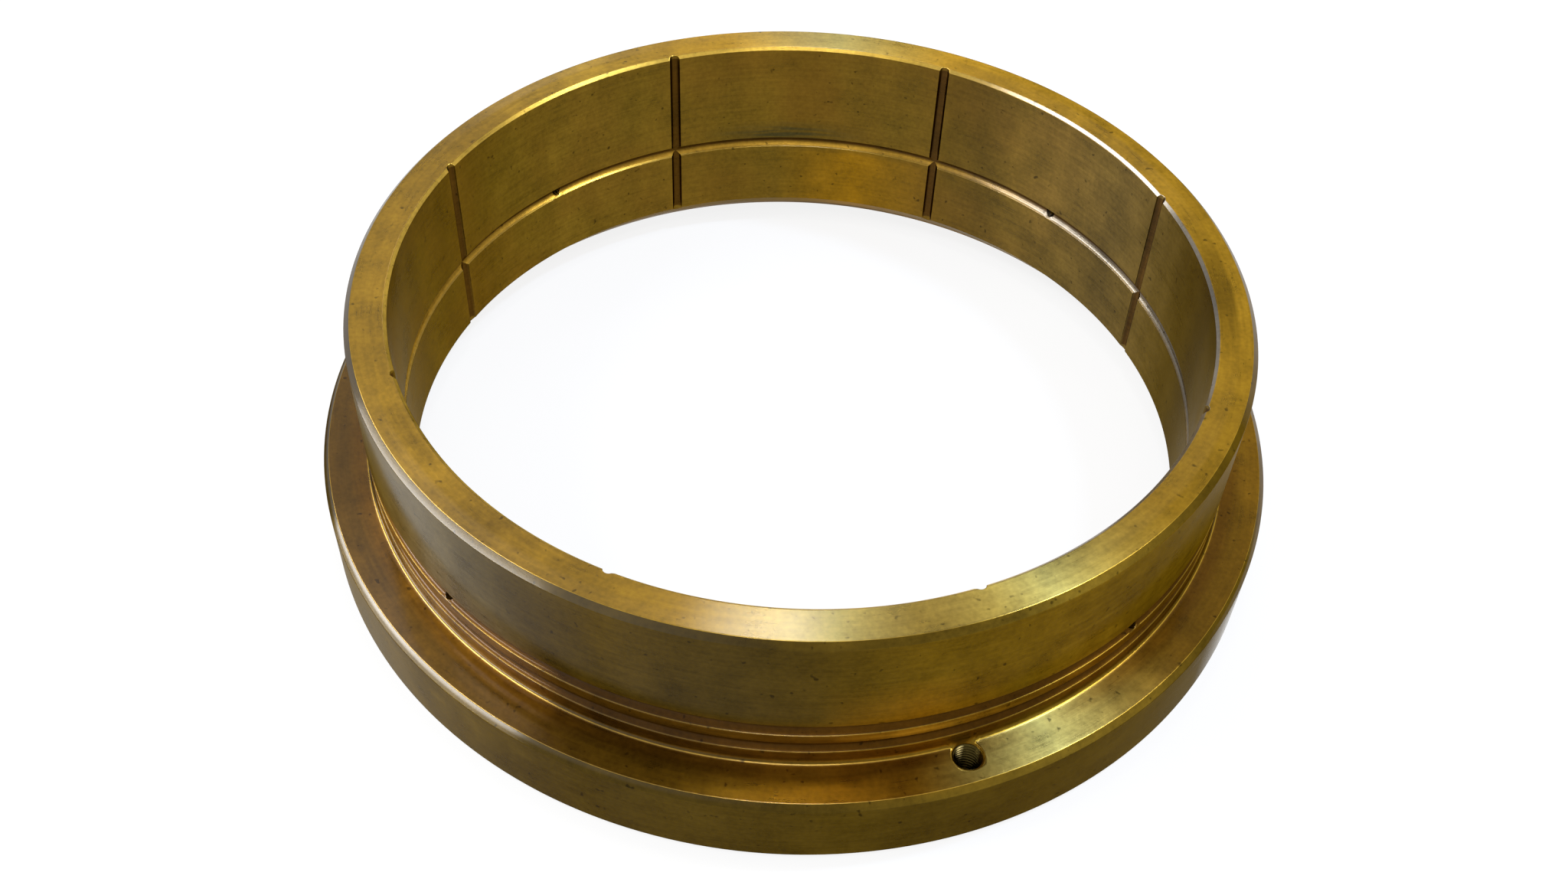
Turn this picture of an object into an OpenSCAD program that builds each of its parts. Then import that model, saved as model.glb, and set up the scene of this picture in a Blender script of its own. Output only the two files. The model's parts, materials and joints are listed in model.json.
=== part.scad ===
// Flanged bronze bushing, turned from one casting. It stands on its flange,
// with its axis on Z and its underside at z = 0. Directions are turned from +X.

/* [Body] */
// Diameter of the bore
bore_d = 345; // [240:1:480]
// Thickness of the sleeve's wall
wall = 17.5; // [12:0.5:30]
// Height over all, from the underside of the flange to the top face
height = 108; // [90:1:200]
// How far the flange stands out from the sleeve
flange_w = 20; // [18:0.5:60]
// Thickness of the flange
flange_t = 35; // [20:1:45]

/* [Edges] */
// Chamfer round the outside of the top face
top_outer_chamfer = 2.5; // [0.5:0.1:4]
// Chamfer round the bore at the top face
top_inner_chamfer = 1.5; // [0.5:0.1:4]
// Wide lead-in chamfer of the bore at the underside
lead_in = 15; // [4:0.5:25]
// Chamfer round the flange's upper edge
flange_top_chamfer = 2.5; // [0.5:0.1:4]
// Chamfer round the flange's lower edge
flange_base_chamfer = 2; // [0.5:0.1:4]
// Radius in the corner between sleeve and flange
corner_r = 2; // [0.5:0.1:4]

/* [Ring grooves outside] */
// Width of each of the two ring grooves
ring_groove_w = 6.4; // [5:0.1:8]
// Depth of each ring groove, round in section
ring_groove_depth = 2.2; // [1:0.1:2.5]
// Land from the flange's face up to the lower ring groove
lower_land = 6.6; // [5:0.1:12]
// Land between the two ring grooves
middle_land = 4.5; // [2:0.1:10]

/* [Oil supply] */
// Width of the ring groove in the bore
bore_ring_w = 5.5; // [4:0.1:8]
// Depth of the ring groove in the bore, round in section
bore_ring_depth = 2; // [1:0.1:2]
// How far the bore's ring groove lies below the upper ring groove outside
bore_ring_drop = 4.3; // [0:0.1:10]
// Diameter of the oil holes, which rise from the bore's ring groove to the upper one outside
oil_hole_d = 4.5; // [3:0.1:6]
// How far each oil hole's outer end lies below the middle of the upper ring groove outside
oil_hole_drop = 0.5; // [0:0.1:2]
// Number of oil holes
oil_holes = 4; // [2:1:8]
// Direction of the first oil hole
oil_hole_turn = 45; // [0:1:90]

/* [Oil grooves along the bore] */
// Number of grooves along the bore
long_grooves = 8; // [2:1:12]
// Width of each groove at the bore's surface
long_groove_w = 5; // [4:0.1:8]
// Depth of each groove, round in section
long_groove_depth = 2; // [1:0.1:2]
// Direction of the first groove
long_groove_turn = 22.5; // [0:0.5:45]

/* [Tapped holes in the flange] */
// Number of tapped jacking holes
tapped_holes = 2; // [1:1:6]
// Thread size
thread_d = 12; // [8:1:12]
// Thread pitch
thread_pitch = 1.75; // [1:0.25:2]
// Distance of each tapped hole's axis from the sleeve's wall
tapped_offset = 6.4; // [6:0.1:10]
// How much wider than the thread the countersunk mouth is
mouth_extra = 0.6; // [0.2:0.1:2]
// Direction of the first tapped hole
tapped_turn = -69.5; // [-90:0.5:90]

/* [Hidden] */
$fn = 180;
eps = 1;
bore_r = bore_d / 2;
sleeve_r = bore_r + wall;
flange_r = sleeve_r + flange_w;
lower_ring_z = flange_t + lower_land + ring_groove_w / 2;
upper_ring_z = lower_ring_z + ring_groove_w + middle_land;
bore_ring_z = upper_ring_z - bore_ring_drop;
oil_hole_rise = upper_ring_z - oil_hole_drop - bore_ring_z;
thread_core_d = thread_d - thread_pitch;
mouth_d = thread_d + mouth_extra;

// Radius of the round cutter that leaves a groove of this width and depth.
function cutter_r(w, depth) = (w * w / 4 + depth * depth) / (2 * depth);

// Half of the body's section, a solid ring without its grooves.
module body_section() {
    polygon([
        [bore_r + lead_in, 0],
        [flange_r - flange_base_chamfer, 0],
        [flange_r, flange_base_chamfer],
        [flange_r, flange_t - flange_top_chamfer],
        [flange_r - flange_top_chamfer, flange_t],
        [sleeve_r, flange_t],
        [sleeve_r, height - top_outer_chamfer],
        [sleeve_r - top_outer_chamfer, height],
        [bore_r + top_inner_chamfer, height],
        [bore_r, height - top_inner_chamfer],
        [bore_r, lead_in],
    ]);
}

// The rounded corner left between the sleeve and the flange's face.
module corner_section() {
    difference() {
        translate([sleeve_r - eps, flange_t - eps])
            square(corner_r + eps);
        translate([sleeve_r + corner_r, flange_t + corner_r])
            circle(corner_r);
    }
}

// Section of a ring groove cut into the outside at height z.
module outer_ring_cut(z) {
    r = cutter_r(ring_groove_w, ring_groove_depth);
    translate([sleeve_r - ring_groove_depth + r, z])
        circle(r);
}

// Section of the ring groove cut into the bore.
module bore_ring_cut() {
    r = cutter_r(bore_ring_w, bore_ring_depth);
    translate([bore_r + bore_ring_depth - r, bore_ring_z])
        circle(r);
}

// The turned body: sleeve, flange, chamfers and all three ring grooves.
module turned_body() {
    rotate_extrude()
        difference() {
            union() {
                body_section();
                corner_section();
            }
            outer_ring_cut(lower_ring_z);
            outer_ring_cut(upper_ring_z);
            bore_ring_cut();
        }
}

// Round grooves along the whole bore, which spread oil from the ring groove.
module long_groove_cuts() {
    r = cutter_r(long_groove_w, long_groove_depth);
    for (i = [0 : long_grooves - 1])
        rotate(long_groove_turn + i * 360 / long_grooves)
            translate([bore_r + long_groove_depth - r, 0, -eps])
                cylinder(h = height + 2 * eps, r = r, $fn = 48);
}

// Holes that rise from the middle of the bore's ring groove to the upper ring
// groove outside.
module oil_hole_cuts() {
    slope = atan(oil_hole_rise / wall);
    for (i = [0 : oil_holes - 1])
        rotate(oil_hole_turn + i * 360 / oil_holes)
            translate([bore_r, 0, bore_ring_z])
                rotate([0, 90 - slope, 0])
                    translate([0, 0, -eps])
                        cylinder(h = wall / cos(slope) + 2 * eps, d = oil_hole_d, $fn = 48);
}

// Holes for jacking screws, drilled to the thread's core and countersunk.
module tapped_hole_cuts() {
    cone_h = (mouth_d - thread_core_d) / 2;
    for (i = [0 : tapped_holes - 1])
        rotate(tapped_turn + i * 360 / tapped_holes)
            translate([sleeve_r + tapped_offset, 0, 0]) {
                translate([0, 0, -eps])
                    cylinder(h = flange_t + 2 * eps, d = thread_core_d, $fn = 64);
                translate([0, 0, flange_t - cone_h])
                    cylinder(h = cone_h, d1 = thread_core_d, d2 = mouth_d, $fn = 64);
                translate([0, 0, flange_t])
                    cylinder(h = corner_r + eps, d = mouth_d, $fn = 64);
            }
}

// The whole bushing: one turned piece with its oil ways and tapped holes.
module bushing() {
    color([0.56, 0.44, 0.16])
        difference() {
            turned_body();
            long_groove_cuts();
            oil_hole_cuts();
            tapped_hole_cuts();
        }
}

bushing();
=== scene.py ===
import json

import bmesh
import bpy
import numpy as np
from mathutils import Matrix, Vector


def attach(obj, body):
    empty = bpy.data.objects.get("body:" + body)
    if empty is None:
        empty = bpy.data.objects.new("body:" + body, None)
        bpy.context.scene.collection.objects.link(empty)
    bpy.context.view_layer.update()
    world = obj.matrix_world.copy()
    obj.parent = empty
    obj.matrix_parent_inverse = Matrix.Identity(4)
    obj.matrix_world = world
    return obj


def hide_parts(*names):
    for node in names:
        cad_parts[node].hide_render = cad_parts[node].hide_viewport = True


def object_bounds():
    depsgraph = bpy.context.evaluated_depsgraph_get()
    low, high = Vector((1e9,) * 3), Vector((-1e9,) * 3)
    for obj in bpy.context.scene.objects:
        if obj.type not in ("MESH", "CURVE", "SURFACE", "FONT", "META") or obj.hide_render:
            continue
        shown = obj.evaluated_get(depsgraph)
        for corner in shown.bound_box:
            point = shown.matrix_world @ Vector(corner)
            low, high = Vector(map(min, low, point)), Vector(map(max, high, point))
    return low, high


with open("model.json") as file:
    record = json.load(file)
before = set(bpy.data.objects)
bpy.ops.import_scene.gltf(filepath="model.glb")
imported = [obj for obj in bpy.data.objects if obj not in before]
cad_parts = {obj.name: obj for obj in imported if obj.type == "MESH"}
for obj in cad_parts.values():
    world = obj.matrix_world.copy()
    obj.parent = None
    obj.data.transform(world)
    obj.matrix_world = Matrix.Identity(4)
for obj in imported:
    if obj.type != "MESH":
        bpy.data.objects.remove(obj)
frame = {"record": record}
cad_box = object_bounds()

# The camera stands in front of the bushing, about half a metre away and half a metre up,
# and looks down into the bore. It is held a little askew, so the picture leans to the right.
PHOTO_WIDTH = 2048
FOCAL_LENGTH = 2119
SENSOR = 36
CAMERA_HEADING = np.radians(-1.0)
CAMERA_DISTANCE = 0.5179
CAMERA_HEIGHT = 0.5594
CAMERA_PITCH = np.radians(46.80)
CAMERA_PAN = np.radians(-0.54)
CAMERA_ROLL = np.radians(-2.80)


def camera_matrix():
    """Place and axes of the camera: it looks forward, turned by the pan and lowered by the pitch,
    and its right and upward axes are turned about that line of sight by the roll."""
    forward = Vector((np.sin(CAMERA_PAN) * np.cos(CAMERA_PITCH),
                      np.cos(CAMERA_PAN) * np.cos(CAMERA_PITCH),
                      -np.sin(CAMERA_PITCH)))
    right = forward.cross(Vector((0, 0, 1))).normalized()
    up = right.cross(forward)
    across = np.cos(CAMERA_ROLL) * right - np.sin(CAMERA_ROLL) * up
    upward = np.sin(CAMERA_ROLL) * right + np.cos(CAMERA_ROLL) * up
    axes = Matrix((across, upward, -forward)).transposed().to_4x4()
    place = Matrix.Translation((0, -CAMERA_DISTANCE, CAMERA_HEIGHT))
    return Matrix.Rotation(CAMERA_HEADING, 4, "Z") @ place @ axes


camera_data = bpy.data.cameras.new("camera")
camera_data.sensor_width = SENSOR
camera_data.lens = SENSOR * FOCAL_LENGTH / PHOTO_WIDTH
camera = bpy.data.objects.new("camera", camera_data)
camera.matrix_world = camera_matrix()
bpy.context.scene.collection.objects.link(camera)
bpy.context.scene.camera = camera
bpy.context.scene.view_settings.view_transform = "Standard"


# The bushing is one casting of tin bronze, turned all over on a lathe. Its oil grooves are cut
# with a round-nosed tool, and its oil holes and tapped holes are drilled last. Sizes are in
# millimetres.
MM = 0.001
mounts = {mount["name"]: mount for mount in frame["record"]["mounts"]}
bore_r = mounts["bore"]["dims"]["r_mm"]
sleeve_r = mounts["sleeve"]["dims"]["r_mm"]
flange_r = cad_box[1][0] / MM
height = cad_box[1][2] / MM
flange_t = mounts["flange_seat"]["pos_m"][2] / MM
core_r = mounts["jack_screw_front"]["dims"]["r_mm"]
lead_in = 15
top_outer_chamfer, top_inner_chamfer = 2.5, 1.5
flange_top_chamfer, flange_base_chamfer = 2.5, 2
corner_r = 2
ring_groove_w, ring_groove_depth, ring_groove_z = 6.4, 2.2, (55.7, 44.8)
oil_groove_w, oil_groove_depth = 5, 2
bore_ring_w, bore_ring_depth, bore_ring_z = 5.5, 2, 51.4
oil_hole_r, oil_hole_slope = 2.25, 3.8 / 17.5
tapped_at_r, mouth_r, thread_root_r, thread_pitch = 196.4, 6.3, 6.05, 1.75
oil_groove_turns = np.radians(22.5 + 45 * np.arange(8))
oil_hole_turns = np.radians(45 + 90 * np.arange(4))
tapped_turns = [np.arctan2(*mounts[name]["pos_m"][1::-1])
                for name in ("jack_screw_front", "jack_screw_back")]
edge_ease = 0.3    # how far every edge is eased on both sides
least_step = 0.35  # least height and width of the top chamfer where an oil groove cuts it


def cutter_radius(width, depth):
    """Radius of the round cutter that leaves a groove of this width and depth: half the width
    squared plus the depth squared, over twice the depth."""
    return (width ** 2 / 4 + depth ** 2) / (2 * depth)


def softened(points, ease):
    """A path with its marked corners rounded. Each corner becomes four points of the parabola
    that touches both sides at the distance ease, or at two fifths of a shorter side.
    points has one row per station and one column per direction, ease one value per station."""
    rows = []
    for i, here in enumerate(points):
        if ease[i] == 0:
            rows.append(here)
            continue
        to_last = points[i - 1] - here
        to_next = points[(i + 1) % len(points)] - here
        last_length = np.linalg.norm(to_last, axis=-1, keepdims=True)
        next_length = np.linalg.norm(to_next, axis=-1, keepdims=True)
        reach = np.minimum(ease[i], 0.4 * np.minimum(last_length, next_length))
        start = here + to_last / last_length * reach
        end = here + to_next / next_length * reach
        for t in (0, 1 / 3, 2 / 3, 1):
            rows.append((1 - t) ** 2 * start + 2 * t * (1 - t) * here + t ** 2 * end)
    return np.array(rows)


def groove_columns():
    """Directions of the mesh's columns over one oil groove and half the way to its neighbours,
    with the wall's radius at each: points round the cutter's circle almost up to the lip, an
    eased lip on both sides, then the plain wall, with close columns where a hole is drilled."""
    r = cutter_radius(oil_groove_w, oil_groove_depth)
    turn = np.radians(np.linspace(0, 72, 9))
    circle = np.stack([r * np.sin(turn), oil_groove_depth - r + r * np.cos(turn)], -1)
    lip = np.array([[oil_groove_w / 2, 0.0]])
    plain = np.array([[oil_groove_w / 2 + 1, 0.0]])
    path = softened(np.concatenate([circle, lip, plain])[:, None], [0] * 9 + [edge_ease, 0])[:, 0]
    side = np.arctan2(path[:, 0], bore_r + path[:, 1])
    far = np.radians(np.concatenate([
        np.arange(1.5, 3.7, 0.35), [4, 4.8], np.arange(6, 18.1, 1.5),
        [19.3, 20.4, 21.1, 21.47], np.arange(21.75, 22.6, 0.25)]))
    turns = np.concatenate([side, far])
    walls = bore_r + np.concatenate([path[:, 1], np.zeros(len(far))])
    return (np.concatenate([-turns[-2:0:-1], turns]), np.concatenate([walls[-2:0:-1], walls]))


def arc(centre_r, centre_z, radius, start, end, count):
    """Stations along a circular arc in the section, without its two ends."""
    steps = (np.arange(count) + 1) / (count + 1)
    turn = start + (end - start) * steps[:, None]
    return np.stack([centre_r + radius * np.cos(turn), centre_z + radius * np.sin(turn)], -1)


# Plain wall kept in the mesh above and below a ring groove's middle, where oil holes open.
bore_ring_margin, ring_groove_margin = 3.3, 3.7


def section(wall):
    """The whole section as stations (radius, height), for bore walls at the given radii: up the
    bore, over the top face, down the sleeve and flange, and back under the flange. Where an
    oil groove makes the wall deeper, the ring groove and both chamfers start at that depth."""
    same = np.ones_like(wall)
    parts, eases = [], []

    def station(r, z, ease=0.0):
        """One corner of the section, eased or left sharp."""
        parts.append(np.stack([r * same, z * same], -1)[None])
        eases.append(ease)

    def stations(points):
        """A run of points that are already smooth."""
        parts.append(np.broadcast_to(points, (len(points), len(wall), 2)))
        eases.extend([0.0] * len(points))

    station(bore_r + lead_in, 0, edge_ease)
    station(wall, lead_in - (wall - bore_r), edge_ease)
    ring_r = cutter_radius(bore_ring_w, bore_ring_depth)
    ring_centre = bore_r + bore_ring_depth - ring_r
    least_turn = 0.06
    half_turn = np.arccos(np.clip((wall - ring_centre) / ring_r, -1, 1))
    half_turn = np.maximum(half_turn, least_turn)
    station(wall, bore_ring_z - bore_ring_margin)
    station(wall, bore_ring_z - ring_r * np.sin(half_turn), edge_ease)
    stations(arc(ring_centre, bore_ring_z, ring_r, -half_turn, half_turn, 9))
    station(wall, bore_ring_z + ring_r * np.sin(half_turn), edge_ease)
    station(wall, bore_ring_z + bore_ring_margin)
    chamfer_start = height - top_inner_chamfer + (wall - bore_r)
    station(wall, np.minimum(chamfer_start, height - least_step), edge_ease)
    station(np.maximum(bore_r + top_inner_chamfer, wall + least_step), height, edge_ease)
    station(bore_r + 5, height)
    station(sleeve_r - top_outer_chamfer, height, edge_ease)
    station(sleeve_r, height - top_outer_chamfer, edge_ease)
    groove_r = cutter_radius(ring_groove_w, ring_groove_depth)
    groove_centre = sleeve_r - ring_groove_depth + groove_r
    lip_turn = np.arcsin(ring_groove_w / 2 / groove_r)
    station(sleeve_r, ring_groove_z[0] + ring_groove_margin)
    for z in ring_groove_z:
        station(sleeve_r, z + ring_groove_w / 2, edge_ease)
        stations(arc(groove_centre, z, groove_r,
                     np.pi - lip_turn * same, np.pi + lip_turn * same, 11))
        station(sleeve_r, z - ring_groove_w / 2, edge_ease)
        if z == ring_groove_z[0]:
            station(sleeve_r, z - ring_groove_margin)
    station(sleeve_r, flange_t + corner_r + 2)
    station(sleeve_r, flange_t + corner_r)
    stations(arc(sleeve_r + corner_r, flange_t + corner_r, corner_r,
                 np.pi * same, 1.5 * np.pi * same, 5))
    station(sleeve_r + corner_r, flange_t)
    for share in (-0.55, -0.3, 0, 0.3, 0.6, 0.85, 1.1):
        station(tapped_at_r + share * mouth_r, flange_t)
    station(flange_r - flange_top_chamfer, flange_t, edge_ease)
    station(flange_r, flange_t - flange_top_chamfer, edge_ease)
    station(flange_r, flange_base_chamfer, edge_ease)
    station(flange_r - flange_base_chamfer, 0, edge_ease)
    for share in (1.1, 0.75, 0.4, 0, -0.4, -0.75, -1.1):
        station(tapped_at_r + share * mouth_r, 0)
    return softened(np.concatenate(parts), eases)


def placed(r, turn, z):
    """A point given by its distance from the axis, its direction and its height."""
    return np.stack([r * np.cos(turn), r * np.sin(turn), z * np.ones_like(r)], -1)


class Shell:
    """Points and faces of the bushing's mesh, gathered as arrays."""

    def __init__(self):
        self.points, self.quads, self.triangles, self.count = [], [], [], 0

    def add(self, points):
        """Takes a grid of points and gives the grid of their numbers."""
        numbers = self.count + np.arange(points[..., 0].size).reshape(points.shape[:-1])
        self.points.append(points.reshape(-1, 3))
        self.count += numbers.size
        return numbers

    def weave(self, grid):
        """A quad between each two rows and each two columns. The columns close in a ring."""
        after = np.roll(grid, -1, axis=1)
        self.quads.append(np.stack([grid[:-1], after[:-1], after[1:], grid[1:]], -1).reshape(-1, 4))

    def lace(self, outer, outer_turn, inner, inner_turn):
        """Joins two rings with different numbers of points: each edge of either ring makes a
        triangle with the last point of the other ring that lies before the edge's end."""
        outer, outer_turn = self.ordered(outer, outer_turn)
        inner, inner_turn = self.ordered(inner, inner_turn)
        for a, a_turn, b, b_turn, side in ((outer, outer_turn, inner, inner_turn, "right"),
                                           (inner, inner_turn, outer, outer_turn, "left")):
            end_turn = np.append(a_turn[1:], a_turn[0] + 2 * np.pi)
            apex = np.searchsorted(b_turn, end_turn, side) - 1
            self.triangles.append(np.stack([a, np.roll(a, -1), b[apex % len(b)]], -1))

    @staticmethod
    def ordered(ring, turn):
        """The same ring, started at its lowest turn."""
        first = np.argmin(turn)
        return np.roll(ring, -first), np.roll(turn, -first)

    def mesh(self, name):
        """All of it as one mesh, with every face turned outwards."""
        mesh = bpy.data.meshes.new(name)
        faces = np.concatenate(self.quads).tolist() + np.concatenate(self.triangles).tolist()
        mesh.from_pydata(np.concatenate(self.points) * MM, [], faces)
        work = bmesh.new()
        work.from_mesh(mesh)
        bmesh.ops.delete(work, geom=[v for v in work.verts if not v.link_faces], context="VERTS")
        bmesh.ops.recalc_face_normals(work, faces=work.faces)
        work.to_mesh(mesh)
        work.free()
        mesh.shade_smooth()
        return mesh


def turned(at_turn, out, across, z):
    """Points given in a frame whose first axis points out from the bushing's axis at at_turn."""
    x = out * np.cos(at_turn) - across * np.sin(at_turn)
    y = out * np.sin(at_turn) + across * np.cos(at_turn)
    return np.stack(np.broadcast_arrays(x, y, z), -1)


# The body is one grid of points, the section carried round the axis. Its rows are told apart by
# their length along the section's path, so that holes can be opened on each face.
offsets, walls = groove_columns()
columns = (oil_groove_turns[:, None] + offsets).ravel()
profile = section(np.tile(walls, len(oil_groove_turns)))
plain = section(np.array([float(bore_r)]))[:, 0]
path = np.concatenate([[0], np.cumsum(np.linalg.norm(np.diff(plain, axis=0), axis=1))])
top_row = int(np.argmax(plain[:, 1] > height - 1e-6))
corner_row = int(np.argmax((path > path[top_row]) & (plain[:, 1] < flange_t + corner_r + 1e-6)))
under_row = int(np.argmax((path > path[corner_row]) & (plain[:, 1] < 1e-6)))
bore_rows, sleeve_rows = slice(0, top_row + 1), slice(top_row, corner_row + 1)
face_rows, under_rows = slice(corner_row, under_row), slice(under_row, len(plain))

shell = Shell()
grid = shell.add(placed(profile[..., 0], columns, profile[..., 1]))
keep = np.ones(grid.shape, bool)
bevel = 0.18  # width of the fine bevel at the mouth of each hole


def surface(s):
    """Radius and height of the plain section at the path length s."""
    return np.interp(s, path, plain[:, 0]), np.interp(s, path, plain[:, 1])


def mouth(at_turn, half_turn, centre, limits, rim_at):
    """Opens the surface round a hole: the columns within half_turn of its direction and the
    rows between the two path lengths are left out, and three rings of points lead from their
    edge to the hole's rim. Gives the rim's point numbers and their bearings round the hole."""
    offset = (columns - at_turn + np.pi) % (2 * np.pi) - np.pi
    inside = np.flatnonzero(np.abs(offset) <= half_turn + 1e-6)
    inside = inside[np.argsort(offset[inside])]
    first = np.searchsorted(path, limits[0], "right") - 1
    last = np.searchsorted(path, limits[1], "left")
    keep[first:last, inside[:-1]] = False
    between = np.arange(first + 1, last)
    rows = np.concatenate([np.full(len(inside), first), between,
                           np.full(len(inside), last), between[::-1]])
    across = np.concatenate([inside, np.full(len(between), inside[-1]),
                             inside[::-1], np.full(len(between), inside[0])])
    edge = np.stack([offset[across], path[rows]], -1)
    bearing = np.arctan2(edge[:, 0] * surface(centre)[0], edge[:, 1] - centre)
    rim = rim_at(bearing)
    rings = np.array([rim + (edge - rim) * share for share in (0, 0.3, 0.65)])
    r, z = surface(rings[..., 1])
    numbers = shell.add(placed(r, at_turn + rings[..., 0], z))
    shell.weave(np.concatenate([numbers, grid[rows, across][None]]))
    return numbers[0], bearing


def over_axis(rows, rising, bearing, radius):
    """Path length where the section crosses the height that a circle of this radius round an oil
    hole's axis has at each bearing. The axis rises outwards from the middle of the bore's ring
    groove. rising is 1 where the section's path climbs and -1 where it falls."""
    lift = plain[rows, 1] - bore_ring_z - oil_hole_slope * (plain[rows, 0] - bore_r)
    tall = np.hypot(1, oil_hole_slope) * radius * np.cos(bearing)
    return np.interp(tall, rising * lift, path[rows])


def oil_rim(rows, rising):
    """Rim of an oil hole on the bore or the sleeve, carried onto the surface."""
    def rim_at(bearing):
        s = over_axis(rows, rising, bearing, oil_hole_r + bevel)
        across = (oil_hole_r + bevel) * np.sin(bearing)
        return np.stack([np.arcsin(across / surface(s)[0]), s], -1)
    return rim_at


def oil_ring(at_turn, rows, rising, bearing, depth):
    """The first ring inside an oil hole, the given depth below the rim along the hole."""
    across = oil_hole_r * np.sin(bearing)
    r, z = surface(over_axis(rows, rising, bearing, oil_hole_r))
    return turned(at_turn, np.sqrt(r ** 2 - across ** 2) + depth, across, z + oil_hole_slope * depth)


# Each oil hole opens in the bore and in the upper ring groove outside. At both ends a bevel
# leads inwards, and the two ends are joined along the hole.
oil_hole_window = np.radians(1.04)
oil_hole_ends = ((bore_rows, 1, bore_ring_z, bore_ring_margin - 0.1),
                 (sleeve_rows, -1, ring_groove_z[0], ring_groove_margin - 0.1))
for at_turn in oil_hole_turns:
    ends = []
    for rows, rising, middle, reach in oil_hole_ends:
        limits = np.interp(rising * middle + np.array([-reach, reach]),
                           rising * plain[rows, 1], path[rows])
        centre = over_axis(rows, rising, 0, 0)
        rim, bearing = mouth(at_turn, oil_hole_window, centre, limits, oil_rim(rows, rising))
        ring = shell.add(oil_ring(at_turn, rows, rising, bearing, rising * bevel))
        shell.weave(np.stack([rim, ring]))
        ends.append((ring, np.arctan2(np.sin(bearing), rising * np.cos(bearing))))
    shell.lace(*ends[0], *ends[1])


def tapped_rim(rows, outward, radius):
    """Rim of a tapped hole: a circle in plan, carried onto the flange and its corner.
    outward is 1 where the section's path runs away from the axis and -1 where it returns."""
    def rim_at(bearing):
        out, across = tapped_at_r + outward * radius * np.cos(bearing), radius * np.sin(bearing)
        s = np.interp(outward * np.hypot(out, across), outward * plain[rows, 0], path[rows])
        return np.stack([np.arctan2(across, out), s], -1)
    return rim_at


def tapped_wall(bearing, z):
    """Radius of a tapped hole: a ridge of the thread's pitch that climbs once round the hole
    per pitch, flat at its crest and root, inside the countersinks at both ends."""
    phase = (z / thread_pitch - bearing / (2 * np.pi)) % 1
    cut = np.clip((np.abs(2 * phase - 1) - 0.125) / 0.75, 0, 1)
    thread = core_r + (thread_root_r - core_r) * cut
    return np.maximum(thread, np.maximum(mouth_r - (flange_t - z), thread_root_r - z))


# Each tapped hole opens in the flange's upper face, where its mouth cuts into the rounded corner
# at the sleeve, and in the underside. The thread runs between the two mouths.
tapped_window = np.radians(2.23)
under_reach = 6.9
for at_turn in tapped_turns:
    centre, limit = np.interp([tapped_at_r, tapped_at_r + mouth_r + 0.5],
                              plain[face_rows, 0], path[face_rows])
    rim, bearing = mouth(at_turn, tapped_window, centre, (path[corner_row] - 1, limit),
                         tapped_rim(face_rows, 1, mouth_r + bevel))
    low_centre, low, high = np.interp(-tapped_at_r + np.array([0, -under_reach, under_reach]),
                                      -plain[under_rows, 0], path[under_rows])
    low_rim, low_bearing = mouth(at_turn, tapped_window, low_centre, (low, high),
                                 tapped_rim(under_rows, -1, thread_root_r + bevel))
    lip_across, lip_out = mouth_r * np.sin(bearing), tapped_at_r + mouth_r * np.cos(bearing)
    lip_s = np.interp(np.hypot(lip_out, lip_across), plain[face_rows, 0], path[face_rows])
    lip = turned(at_turn, lip_out, lip_across, surface(lip_s)[1] - bevel)
    levels = np.arange(flange_t - 2 * bevel, bevel, -thread_pitch / 8)[:, None]
    radii = tapped_wall(bearing, levels)
    wall = turned(at_turn, tapped_at_r + radii * np.cos(bearing), radii * np.sin(bearing), levels)
    numbers = shell.add(np.concatenate([lip[None], wall]))
    shell.weave(np.concatenate([rim[None], numbers]))
    low_bearing = np.arctan2(np.sin(low_bearing), -np.cos(low_bearing))
    shell.lace(numbers[-1], bearing, low_rim, low_bearing)

around = np.concatenate([grid, grid[:1]])
after = np.roll(around, -1, axis=1)
body = np.stack([around[:-1], after[:-1], after[1:], around[1:]], -1)
shell.quads.append(body[keep])


class Wire:
    """A shader socket that takes part in sums: each operator adds a Math node."""

    def __init__(self, socket):
        self.socket = socket

    def math(self, operation, *values, clamp=False):
        shader = Shader(self.socket.id_data)
        settings = {"operation": operation, "use_clamp": clamp}
        return Wire(shader.node("ShaderNodeMath", settings, values).outputs[0])

    def __add__(self, other):
        return self.math("ADD", self, other)

    def __radd__(self, other):
        return self.math("ADD", other, self)

    def __sub__(self, other):
        return self.math("SUBTRACT", self, other)

    def __rsub__(self, other):
        return self.math("SUBTRACT", other, self)

    def __mul__(self, other):
        return self.math("MULTIPLY", self, other)

    def __rmul__(self, other):
        return self.math("MULTIPLY", other, self)

    def __truediv__(self, other):
        return self.math("DIVIDE", self, other)

    def __pow__(self, other):
        return self.math("POWER", self, other)

    def clipped(self):
        """The value kept between 0 and 1."""
        return self.math("ADD", self, 0.0, clamp=True)

    def size(self):
        """The value without its sign."""
        return self.math("ABSOLUTE", self)

    def above(self, level, slope):
        """0 up to the level, and from there up to 1 by the slope."""
        return ((self - level) * slope).clipped()

    def below(self, level, slope):
        """0 down to the level, and from there up to 1 by the slope."""
        return ((level - self) * slope).clipped()

    def within(self, centre, reach):
        """1 at the centre, falling in a line to 0 at the given reach on both sides."""
        return (1 - (self - centre).size() / reach).clipped()


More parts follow.
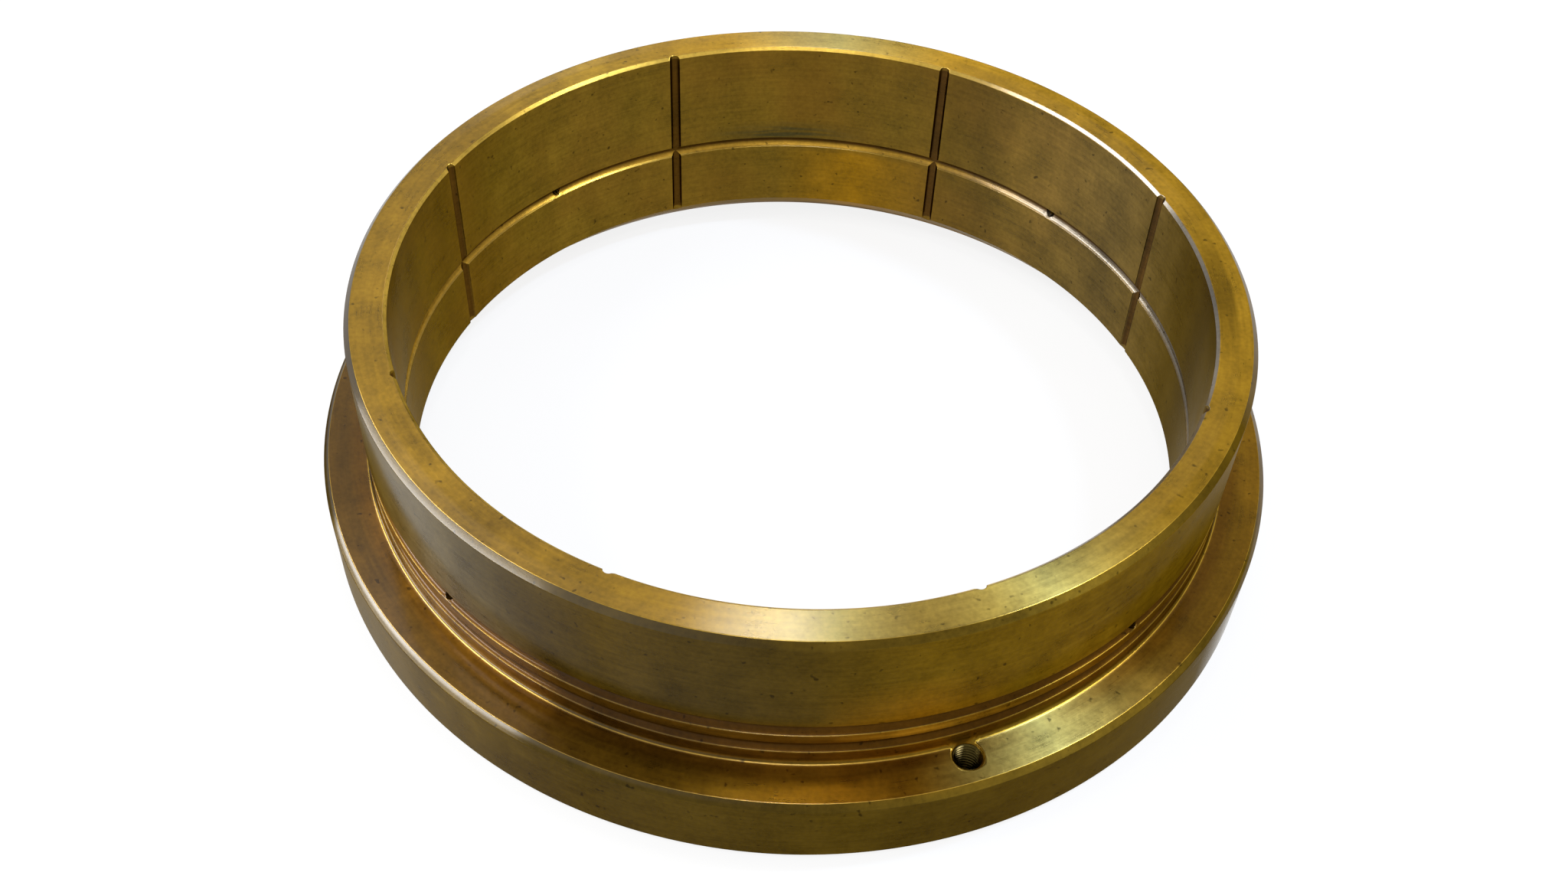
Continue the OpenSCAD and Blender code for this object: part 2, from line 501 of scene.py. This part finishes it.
class Shader:
    """Adds nodes to one material or world."""

    def __init__(self, tree):
        self.tree = tree

    def node(self, kind, settings=None, inputs=None):
        """A node of this kind: its settings are set first, then its sockets' values or links."""
        node = self.tree.nodes.new(kind)
        for name, value in (settings or {}).items():
            setattr(node, name, value)
        pairs = inputs.items() if isinstance(inputs, dict) else enumerate(inputs or ())
        for name, value in pairs:
            if isinstance(value, Wire):
                value = value.socket
            if isinstance(value, bpy.types.NodeSocket):
                self.tree.links.new(value, node.inputs[name])
            elif isinstance(value, tuple):
                node.inputs[name].default_value = (*value, 1)
            else:
                node.inputs[name].default_value = value
        return node

    def noise(self, vector, scale, detail=3.0, roughness=0.55):
        """Clouds between 0 and 1 about a middle of 0.5, with scale of them to one unit."""
        return Wire(self.node("ShaderNodeTexNoise", {}, {
            "Vector": vector, "Scale": scale, "Detail": detail,
            "Roughness": roughness}).outputs["Fac"])

    def blend(self, factor, first, second):
        """The first colour where the factor is 0 and the second where it is 1."""
        return self.node("ShaderNodeMix", {"data_type": "RGBA", "clamp_factor": True},
                         {0: factor, 6: first, 7: second}).outputs[2]

    def vector(self, x, y, z):
        return self.node("ShaderNodeCombineXYZ", {}, (x, y, z)).outputs[0]

    def scaled(self, colour, share):
        """The colour made darker or brighter by the share."""
        return self.node("ShaderNodeVectorMath", {"operation": "SCALE"},
                         {0: colour, "Scale": share}).outputs[0]


def empty_material(name):
    """A new material without nodes, and the Shader that fills it."""
    material = bpy.data.materials.new(name)
    material.use_nodes = True
    material.node_tree.nodes.clear()
    return material, Shader(material.node_tree)


FACE_GOLD = (0.258, 0.146, 0.0110)
# Paler gold, painted on the faces as a highlight.
PAINTED_HIGHLIGHT_GOLD = (0.206, 0.174, 0.0500)
FLANGE_GOLD = (0.165, 0.085, 0.0060)
FLANGE_BROWN = (0.095, 0.048, 0.0060)
# Darker copper, painted where the sleeve meets the flange as shade with a warm reflection.
CORNER_BOUNCE_SHADE = (0.135, 0.061, 0.0045)
# Orange, painted on the flange's front and the foot of the sleeve as a warm reflection of light
# bounced between them.
PAINTED_BOUNCE_COPPER = (0.280, 0.118, 0.0045)
BORE_OLIVE = (0.165, 0.099, 0.0095)
BORE_BROWN = (0.140, 0.076, 0.0080)
# Amber, painted low at the back of the bore as a warm reflection.
BORE_WARM_REFLECTION = (0.270, 0.135, 0.0045)
# Grey, painted on the right of the bore as a sheen of reflected light.
BORE_GREY_SHEEN = (0.140, 0.091, 0.0230)
GREY_SMUDGE = (0.060, 0.047, 0.0130)
# Lit and shaded copies of the sleeve's bronze, painted in by direction round the axis.
SLEEVE_LIT_GOLD = (0.170, 0.097, 0.0060)
SLEEVE_SHADED_BROWN = (0.062, 0.039, 0.0060)
# Grey, painted on the left of the sleeve as a sheen of reflected light.
SLEEVE_GREY_SHEEN = (0.110, 0.084, 0.0400)
# Bright gold, painted on the middle land at the front right as a highlight.
LAND_HIGHLIGHT_GOLD = (0.600, 0.300, 0.0200)
RIM_BROWN = (0.078, 0.048, 0.0055)
# Shaded and lit copies of the outside edges' bronze: painted shade and light.
EDGE_SHADED_BROWN = (0.050, 0.031, 0.0040)
EDGE_LIT_AMBER = (0.140, 0.085, 0.0080)
# Bright gold and whitish colours, painted on the bore's edges and groove flank as highlights.
EDGE_HIGHLIGHT_GOLD = (0.480, 0.310, 0.0500)
EDGE_WHITE_HIGHLIGHT = (0.190, 0.160, 0.1200)
# Bright gold, painted as a highlight line along the eased upper edges outside.
EDGE_LINE_HIGHLIGHT = (0.470, 0.290, 0.0300)
# Dark, painted in the grooves as shade, and bright gold, painted on the bore groove's lower flank as
# a highlight.
GROOVE_SHADE = (0.052, 0.021, 0.0020)
GROOVE_FLANK_HIGHLIGHT = (0.430, 0.245, 0.0300)
# The tapped holes' walls are painted dark as shade, with a bright painted highlight on the thread.
THREAD_SHADE = (0.050, 0.036, 0.0080)
THREAD_HIGHLIGHT = (0.900, 0.720, 0.3000)


def bronze_material():
    """Turned bronze with ring marks from the tool and a film of tarnish and oil: gold on the faces
    that look up, olive and brown on the upright walls, darker partly as tarnish and partly as
    painted shade, with painted shade in the grooves and painted highlights and reflections on edges,
    faces and walls."""
    material, shader = empty_material("turned_bronze")
    coordinates = shader.node("ShaderNodeTexCoord").outputs
    place = coordinates["Object"]

    # Lengths are in millimetres. out_x and out_y point away from the axis, to the right and to
    # the back, and lean is 1 on a face that looks up and 0 on an upright wall.
    x, y, z = (Wire(length) * (1 / MM)
               for length in shader.node("ShaderNodeSeparateXYZ", {}, (place,)).outputs)
    lean = Wire(shader.node("ShaderNodeSeparateXYZ", {}, (coordinates["Normal"],)).outputs[2])
    radius = (x * x + y * y) ** 0.5
    out_x, out_y = x / radius, y / radius
    front, back = out_y.below(0, 2), out_y.clipped()

    # Each face and groove, as a mask that is 1 on it.
    between_grooves = 50.2
    flat = lean.above(0.8, 8)
    outside = radius.above(181, 0.5)
    upright = outside * (1 - flat)
    flange = z.below(40, 0.5) * outside
    rim = radius.above(208.5, 2)
    sunk_in = radius.above(172.6, 1.2) * radius.below(176, 2) * z.above(15.3, 3) * z.below(106.4, 3)
    sunk_out = radius.below(189.85, 3) * (8 * z.within(between_grooves, 11)).clipped() * outside
    edge = lean.within(0.7, 0.22) * (1 - sunk_in) * (1 - sunk_out)
    # The eased edges outside, painted as a thin highlight line.
    edge_line_highlight = lean.within(0.9, 0.07) * outside
    # Front right of the faces, where the lamps' highlight falls; the faces are painted paler there
    # as a highlight.
    highlight_zone = out_x.within(0.5, 0.26) * front
    # Foot of the sleeve and inner part of the flange, painted darker and redder as shade and
    # reflected warmth.
    corner = outside * z.below(62, 0.1) * radius.below(200, 0.2) * (1 - flange * highlight_zone)
    # Foot of the sleeve at the front right, painted orange as a reflection of the flange's
    # highlight.
    low_front_bounce = out_x.within(0.26, 0.2) * front * z.below(85, 0.04) * upright * (1 - rim)
    # The land between the outer grooves at the front right, painted as a highlight.
    land_highlight = z.within(between_grooves, 2.6) * out_x.within(0.29, 0.2) * front * upright

    # The tapped holes: the distance from a hole's axis, and a band of the thread on one side, which
    # carries a painted highlight.
    screw_x, screw_y = float(np.cos(tapped_turns[0])), float(np.sin(tapped_turns[0]))
    towards = (x * screw_x + y * screw_y).size()
    beside = y * screw_x - x * screw_y
    bored = (radius ** 2 + tapped_at_r ** 2 - 2 * tapped_at_r * towards) ** 0.5
    threaded = bored.below(mouth_r + 0.1, 10) * z.below(flange_t - 0.5, 3)
    thread_highlight = beside.within(-1.2, 2.0) * bored.below(thread_root_r - 0.3, 3)

    # Clouds, stains and grain of the cast metal, and the streaks and marks that run round it.
    across = radius + z * 1.37
    cloud = shader.noise(place, 19.0, 3.0)
    patch = shader.noise(place, 60.0, 4.0)
    grain = shader.noise(place, 520.0, 2.0)
    pit = shader.noise(place, 330.0, 1.0).above(0.70, 12)
    streak = shader.noise(shader.vector(out_x * 6, out_y * 6, across * 0.45), 1.0, 4.0, 0.65)
    marks = shader.noise(shader.vector(out_x * 1.5, out_y * 1.5, across * 2.6), 1.0, 3.0, 0.7)
    sway = shader.noise(shader.vector(out_x * 7, out_y * 7, z * 0.004), 1.0, 2.0)

    # The bore is olive and brown, with a painted warm reflection low at the back and a painted grey
    # sheen towards the right.
    warm_reflection = out_x.within(0.15, 0.24) * back * z.below(50, 0.2) * (cloud + 0.6)
    smudge = out_x.within(-0.06, 0.26) * back * z.within(57, 8) * (streak - 0.3).clipped() * 5
    bore = shader.blend((cloud - 0.35) * 3.2, BORE_OLIVE, BORE_BROWN)
    bore = shader.blend(smudge, shader.blend(warm_reflection, bore, BORE_WARM_REFLECTION), GREY_SMUDGE)
    # Painted grey sheen towards the right of the bore.
    bore = shader.blend(out_x * 1.6 - 0.6, bore, BORE_GREY_SHEEN)

    # The sleeve is painted from shaded brown on the left to lit gold on the right, with three paler
    # bands of painted highlight, and a painted grey sheen further left.
    lit_share = (0.12 + out_x * 0.62 + 0.5 * out_x.within(0.42, 0.4)
                  + 0.35 * out_x.within(0.26, 0.14) + 0.42 * out_x.within(-0.36, 0.26)).clipped()
    wall = shader.blend(lit_share, SLEEVE_SHADED_BROWN, SLEEVE_LIT_GOLD)
    # Painted grey sheen on the left of the sleeve.
    wall = shader.blend(0.9 * out_x.within(-0.72, 0.2), wall, SLEEVE_GREY_SHEEN)
    colour = shader.blend(outside, bore, shader.blend(rim, wall, RIM_BROWN))

    # The top face and the flange's face are gold. They are painted paler as a highlight at the front
    # and back of the top face, and at the front right of both faces, where the lamps' highlights
    # fall.
    seat = shader.blend(out_x * -3 - 0.8, FLANGE_GOLD, FLANGE_BROWN)
    # Painted warm reflection on the front of the flange.
    seat = shader.blend(0.6 * out_x.within(0.1, 0.22) * front, seat, PAINTED_BOUNCE_COPPER)
    # On the flange this share gives the flange's own colour; on the top face at the front left it
    # darkens the gold as painted shade.
    seat_and_shade_share = flange + 0.35 * out_x.within(-0.6, 0.35) * front
    painted_highlight = 0.8 * highlight_zone + 0.9 * out_x.within(0.08, 0.3) * (1 - flange)
    face = shader.blend(painted_highlight, shader.blend(seat_and_shade_share, FACE_GOLD, seat), PAINTED_HIGHLIGHT_GOLD)
    colour = shader.blend(flat, colour, face)
    # Painted shade and warm reflection in the corner between the sleeve and the flange.
    colour = shader.blend(corner * 0.85, colour, CORNER_BOUNCE_SHADE)
    # Painted warm reflection of the flange at the foot of the sleeve.
    colour = shader.blend(0.75 * low_front_bounce, colour, PAINTED_BOUNCE_COPPER)

    # Edges and grooves, with painted light: the outside edges follow the sleeve's painted shade and
    # light; the bore's edges, its groove's lower flank and the land carry painted highlights that
    # pale to white towards the right; the bore groove's upper flank and the outer grooves are
    # painted dark as shade.
    # The bore's edges are painted as highlights, gold on the left and whitening towards the right.
    whitening_share = out_x * 4 - 1.8
    bore_edge_highlight = shader.blend(whitening_share, EDGE_HIGHLIGHT_GOLD, EDGE_WHITE_HIGHLIGHT)
    outside_edge_shade = shader.blend(lit_share, EDGE_SHADED_BROWN, EDGE_LIT_AMBER)
    colour = shader.blend(edge, colour, shader.blend(outside, bore_edge_highlight, outside_edge_shade))
    # Painted highlight on the land.
    colour = shader.blend(land_highlight, colour, LAND_HIGHLIGHT_GOLD)
    # Painted highlight along the eased edges.
    colour = shader.blend(edge_line_highlight, colour, EDGE_LINE_HIGHLIGHT)
    # In the bore's ring groove the upper flank is painted dark as shade and the lower flank as a
    # highlight.
    groove = shader.blend(lean * 2.2, GROOVE_SHADE, shader.blend(whitening_share, GROOVE_FLANK_HIGHLIGHT, EDGE_WHITE_HIGHLIGHT))
    colour = shader.blend(sunk_in * 0.85, colour, groove)
    # The outer grooves are painted dark as shade.
    colour = shader.blend(sunk_out * 0.9, colour, GROOVE_SHADE)
    # Painted shade inside the tapped holes, with a painted highlight on one side of the thread.
    colour = shader.blend(threaded, colour, shader.blend(thread_highlight, THREAD_SHADE, THREAD_HIGHLIGHT))

    tone = 1 + 0.8 * (cloud - 0.5) + 0.9 * (patch - 0.5) + 0.7 * (streak - 0.5) + 0.6 * (grain - 0.5)
    bore_tone = (0.6 * (sway - 0.5) - 0.25 * out_x.within(0.5, 0.16)
                 - 0.4 * (out_x * 30 - 29).clipped())
    tone = tone * (1 - 0.6 * pit) * (1 + bore_tone * (1 - outside))
    rough = 0.30 + 0.16 * (patch - 0.5) + 0.12 * (streak - 0.5) - 0.14 * threaded

    # The film of oil, thickest on the left of the sleeve, along the edges and on the top face.
    left = 0.48 * out_x.within(-0.74, 0.38) * (out_x * 7 + 6.6).clipped()
    middle = 0.12 * out_x.within(-0.3, 0.4)
    far_right = (out_x * 12 - 11 + 1.4 * rim).clipped() * (1 - flat) * (cloud + 0.1)
    left_edge = 0.8 * edge * (out_x * -2.2).clipped()
    left_edge = left_edge * (1 - flange * (0.35 + 0.6 * z.below(34.4, 1)))
    film_out = outside * ((left + middle) * (1 - 0.6 * rim) + far_right + left_edge)
    flank = edge + sunk_in * (lean * 2).clipped()
    film_in = ((out_x * 3 - 0.9).clipped() * 0.95 * flank
               + 0.2 * out_x.clipped() * (7.9 - out_x * 8).clipped())
    film_up = 0.05 + 0.35 * (0.5 - out_x * 0.8).clipped() + 0.6 * out_x.within(0.0, 0.24)
    film = 0.03 + film_out + film_in * (1 - outside) + film_up * flat

    bump = shader.node("ShaderNodeBump", {}, {
        "Strength": 0.3, "Distance": 0.0001,
        "Height": marks + 0.35 * grain + 0.5 * streak}).outputs[0]
    metal = shader.node("ShaderNodeBsdfPrincipled", {}, {
        "Base Color": shader.scaled(colour, tone), "Metallic": 1.0, "Roughness": rough,
        "Normal": bump, "Specular Tint": (0.55, 0.48, 0.35), "Anisotropic": 0.95,
        "Anisotropic Rotation": 0.25, "Coat Weight": film, "Coat Roughness": 0.14})
    shader.node("ShaderNodeOutputMaterial", {}, (metal.outputs[0],))
    return material


bushing = bpy.data.objects.new("turned_bushing", shell.mesh("turned_bushing"))
bpy.context.scene.collection.objects.link(bushing)
bushing.data.materials.append(bronze_material())
weighted = bushing.modifiers.new("flat_faces_stay_flat", "WEIGHTED_NORMAL")
weighted.weight = 80
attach(bushing, "root")
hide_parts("bushing")


# The studio is a floor of pale paper under a soft white surround. A few large soft boxes at the
# sides, in front, behind and overhead give the metal its bright lines.
FLOOR_SIZE = 6.0
LAMP_DISTANCE = 2.0


def shown(shader):
    """1 for a ray from the camera, or one that metal or glass sends on, and 0 for a ray of light."""
    rays = shader.node("ShaderNodeLightPath").outputs
    return (Wire(rays["Is Camera Ray"]) + Wire(rays["Is Glossy Ray"])
            + Wire(rays["Is Transmission Ray"])).clipped()


def floor_material():
    """Pale matt paper that keeps a soft shadow. To the camera and to the metal it glows, so that
    it shows as white as the surround."""
    material, shader = empty_material("floor_paper")
    paper = shader.node("ShaderNodeBsdfDiffuse", {}, {"Color": (0.9, 0.9, 0.9)}).outputs[0]
    glow = shader.node("ShaderNodeEmission", {}, {
        "Color": (1.0, 1.0, 1.0), "Strength": 1.0}).outputs[0]
    mix = shader.node("ShaderNodeMixShader", {}, (shown(shader) * 0.85, paper, glow))
    shader.node("ShaderNodeOutputMaterial", {}, (mix.outputs[0],))
    return material


bpy.ops.mesh.primitive_plane_add(size=FLOOR_SIZE, location=(0, 0, 0))
floor = bpy.context.object
floor.name = "floor"
floor.data.materials.append(floor_material())

world = bpy.data.worlds.new("surround")
bpy.context.scene.world = world
world.use_nodes = True
world.node_tree.nodes.clear()
air = Shader(world.node_tree)
backdrop = air.node("ShaderNodeBackground", {}, {
    "Color": (1.0, 1.0, 1.0), "Strength": 0.65 + 0.35 * shown(air)})
air.node("ShaderNodeOutputWorld", {}, (backdrop.outputs[0],))


def lamp(name, heading, elevation, size, watts, colour=(1.0, 1.0, 1.0), tilt=0):
    """A soft box that faces the bushing. heading is counted from the front towards the right, and
    tilt turns the box about its own middle."""
    data = bpy.data.lights.new(name, "AREA")
    data.shape = "RECTANGLE"
    data.size, data.size_y = size
    data.energy = watts
    data.color = colour
    box = bpy.data.objects.new(name, data)
    turn, rise = np.radians(heading - 90), np.radians(elevation)
    away = Vector((np.cos(turn) * np.cos(rise), np.sin(turn) * np.cos(rise), np.sin(rise)))
    facing = (away.to_track_quat("Z", "Y").to_matrix().to_4x4()
              @ Matrix.Rotation(np.radians(tilt), 4, "Z"))
    box.matrix_world = Matrix.Translation(away * LAMP_DISTANCE) @ facing
    bpy.context.scene.collection.objects.link(box)


lamp("left_strip", -80, 14.5, (2.1, 0.25), 24, tilt=24)
lamp("left_window", -98, 46, (1.5, 0.3), 22, tilt=30)
lamp("front_soft_box", 3, 62, (0.6, 0.15), 3)
lamp("right_window", 102, 64, (0.14, 0.3), 15, colour=(0.8, 1.0, 1.4))
lamp("right_low_box", 88, 49, (0.5, 0.3), 5, tilt=-30)
lamp("back_window", 181, 59.5, (0.18, 0.16), 1.2)
lamp("back_strip", 178, 45, (0.2, 0.3), 1.4)
lamp("overhead_box", 180, 87, (0.25, 0.2), 4)
